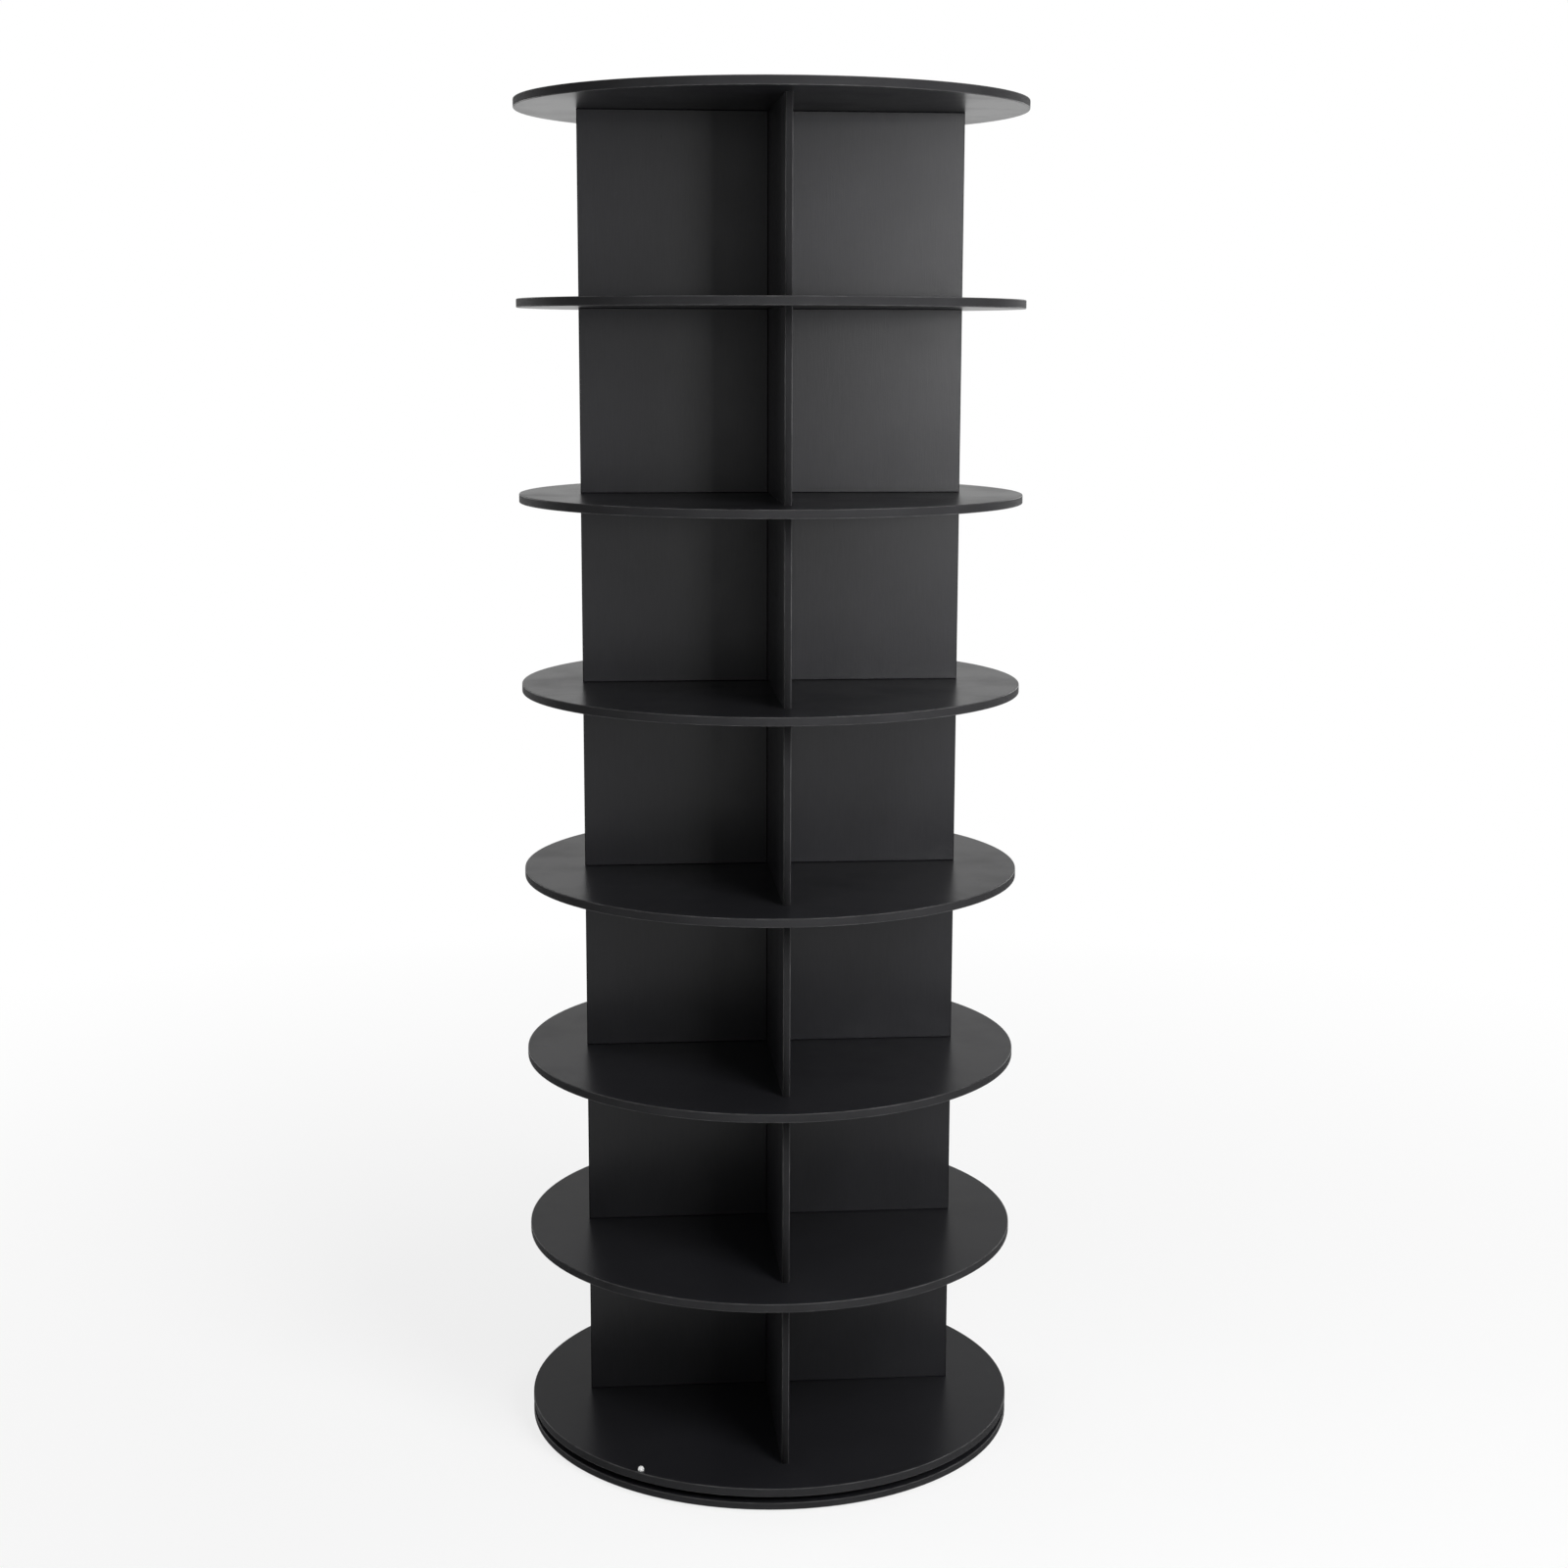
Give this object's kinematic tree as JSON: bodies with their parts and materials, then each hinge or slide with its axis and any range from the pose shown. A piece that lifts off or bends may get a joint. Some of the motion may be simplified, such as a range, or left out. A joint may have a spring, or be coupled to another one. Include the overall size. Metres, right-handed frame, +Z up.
{
  "type": "rotating shoe tower",
  "caption": "Free-standing revolving shoe tower: equal round black shelves on crossed upright panels, turning on a ring bearing over a fixed round base.",
  "frame": {"origin": "on the floor under the middle of the base disc", "axes": "+Z up along the turning axis; cross panels lie along X, dividers along Y, and the side towards the viewer is -Y"},
  "size_m": [0.6999, 0.7, 1.8815],
  "materials": {
    "black_board": "black satin laminate on board",
    "bearing_aluminium": "mill-finished turned aluminium",
    "zinc_steel": "zinc plated",
    "ball_steel": "polished steel",
    "cage_nylon": "natural nylon",
    "foot_rubber": "matte foam rubber",
    "white_plastic": "smooth moulded white"
  },
  "bodies": {
    "base": {"foot_pads": "foot_rubber", "base_disc": "black_board", "bearing_outer_ring": "bearing_aluminium", "outer_ring_screws": "zinc_steel"},
    "tower": {"bottom_disc": "black_board", "shelf_disc_1": "black_board", "shelf_disc_2": "black_board", "shelf_disc_3": "black_board", "shelf_disc_4": "black_board", "shelf_disc_5": "black_board", "shelf_disc_6": "black_board", "top_disc": "black_board", "cross_panel_1": "black_board", "front_divider_1": "black_board", "rear_divider_1": "black_board", "cross_panel_2": "black_board", "front_divider_2": "black_board", "rear_divider_2": "black_board", "cross_panel_3": "black_board", "front_divider_3": "black_board", "rear_divider_3": "black_board", "cross_panel_4": "black_board", "front_divider_4": "black_board", "rear_divider_4": "black_board", "cross_panel_5": "black_board", "front_divider_5": "black_board", "rear_divider_5": "black_board", "cross_panel_6": "black_board", "front_divider_6": "black_board", "rear_divider_6": "black_board", "cross_panel_7": "black_board", "front_divider_7": "black_board", "rear_divider_7": "black_board", "bearing_inner_ring": "bearing_aluminium", "inner_ring_screws": "zinc_steel", "rim_plug": "white_plastic"},
    "ball_cage": {"bearing_balls": "ball_steel", "bearing_cage": "cage_nylon"}
  },
  "joints": [
    {"name": "turntable", "type": "hinge", "parent": "base", "child": "tower", "pos_m": [0, 0, 0.01725], "axis": [0, 0, 1], "continuous": true},
    {"name": "ball_cage_turn", "type": "hinge", "parent": "base", "child": "ball_cage", "pos_m": [0, 0, 0.01725], "axis": [0, 0, 1], "continuous": true}
  ],
  "couplings": [
    {"joint": "ball_cage_turn", "follows": "turntable", "ratio": 0.495}
  ]
}
